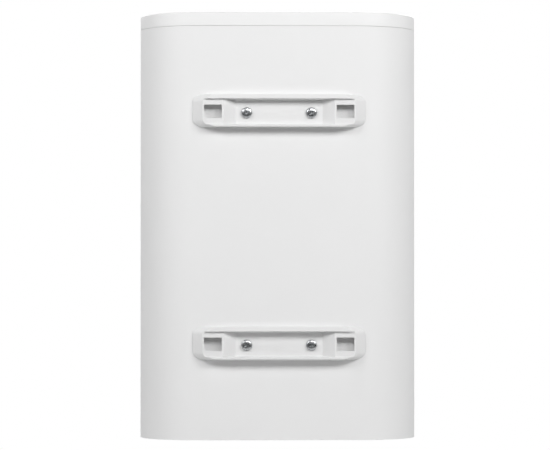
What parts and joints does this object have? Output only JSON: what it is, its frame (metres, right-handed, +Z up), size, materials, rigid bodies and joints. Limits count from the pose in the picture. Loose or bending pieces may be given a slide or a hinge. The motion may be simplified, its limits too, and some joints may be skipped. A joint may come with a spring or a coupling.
{
  "type": "storage water heater",
  "caption": "Flat wall-hung electric storage water heater with two tanks side by side in a rounded white case, hung on two pressed brackets.",
  "frame": {"origin": "on the wall plane, midway between the two hook holes of the upper bracket", "axes": "+Z up, +Y into the wall, so the front faces -Y"},
  "size_m": [0.434, 0.2953, 0.664],
  "materials": {
    "case_paint": "white powder coat, satin",
    "cap_plastic": "moulded white ABS, fine texture",
    "bracket_paint": "white powder coat, satin",
    "screw_steel": "bright zinc plate",
    "galvanised": "galvanised",
    "stainless": "2B mill finish",
    "foam": "rigid polyurethane foam",
    "rubber": "matt",
    "copper": "copper sheath, drawn",
    "magnesium": "cast magnesium, dull",
    "panel_plastic": "smooth dark grey",
    "knob_plastic": "silver-grey lacquer",
    "black_plastic": "fine texture",
    "blue_plastic": "smooth",
    "red_plastic": "smooth",
    "lamp_red": "translucent, smooth",
    "lamp_green": "translucent, smooth",
    "dial_white": "printed card",
    "needle_red": "lacquered",
    "lens_clear": "clear",
    "white_ceramic": "cream moulding"
  },
  "bodies": {
    "heater": {"rear_casing": "case_paint", "front_casing": "case_paint", "top_cap": "cap_plastic", "bottom_cap": "cap_plastic", "service_cover": "cap_plastic", "upper_wall_bracket": "bracket_paint", "lower_wall_bracket": "bracket_paint", "bracket_screw_upper_left": "screw_steel", "bracket_screw_upper_right": "screw_steel", "bracket_screw_lower_left": "screw_steel", "bracket_screw_lower_right": "screw_steel", "cover_screw_1": "screw_steel", "cover_screw_2": "screw_steel", "cover_screw_3": "screw_steel", "cover_screw_4": "screw_steel", "gauge_case": "screw_steel", "upper_saddle": "galvanised", "lower_saddle": "galvanised", "left_heater_flange": "galvanised", "left_clamp_bar": "galvanised", "left_clamp_nut": "galvanised", "right_heater_flange": "galvanised", "right_clamp_bar": "galvanised", "right_clamp_nut": "galvanised", "left_tank": "stainless", "right_tank": "stainless", "crossover_pipe": "stainless", "cold_inlet_pipe": "stainless", "hot_outlet_pipe": "stainless", "left_sensor_pocket": "stainless", "right_sensor_pocket": "stainless", "insulation_foam": "foam", "left_flange_gasket": "rubber", "right_flange_gasket": "rubber", "left_heating_element": "copper", "right_heating_element": "copper", "thermostat_capillary": "copper", "left_anode": "magnesium", "right_anode": "magnesium", "control_panel": "panel_plastic", "thermal_cutout": "black_plastic", "cable_gland": "black_plastic", "power_housing": "black_plastic", "boost_housing": "black_plastic", "thermostat_body": "black_plastic", "cold_ring": "blue_plastic", "hot_ring": "red_plastic", "heating_lamp": "lamp_red", "power_lamp": "lamp_green", "gauge_dial": "dial_white", "gauge_lens": "lens_clear", "inlet_diffuser": "white_ceramic", "terminal_block": "white_ceramic"},
    "temperature_knob": {"temperature_knob": "knob_plastic"},
    "power_rocker": {"power_rocker": "black_plastic"},
    "boost_rocker": {"boost_rocker": "black_plastic"},
    "gauge_needle": {"gauge_needle": "needle_red"},
    "reset_button": {"reset_button": "red_plastic"}
  },
  "joints": [
    {"name": "temperature_turn", "type": "hinge", "parent": "heater", "child": "temperature_knob", "pos_m": [0, -0.2793, -0.443], "axis": [0, 1, 0], "range_deg": [0, 270]},
    {"name": "power_rock", "type": "hinge", "parent": "heater", "child": "power_rocker", "pos_m": [-0.096, -0.2766, -0.443], "axis": [-1, 0, 0], "range_deg": [0, 18]},
    {"name": "boost_rock", "type": "hinge", "parent": "heater", "child": "boost_rocker", "pos_m": [-0.064, -0.2766, -0.443], "axis": [-1, 0, 0], "range_deg": [0, 18]},
    {"name": "needle_swing", "type": "hinge", "parent": "heater", "child": "gauge_needle", "pos_m": [0.08, -0.2783, -0.443], "axis": [0, 1, 0], "range_deg": [0, 240]},
    {"name": "reset_press", "type": "slide", "parent": "heater", "child": "reset_button", "axis": [0, 0, 1], "range_m": [0, 0.0025], "stiffness_N_per_m": 400, "springref_m": -0.0005}
  ]
}
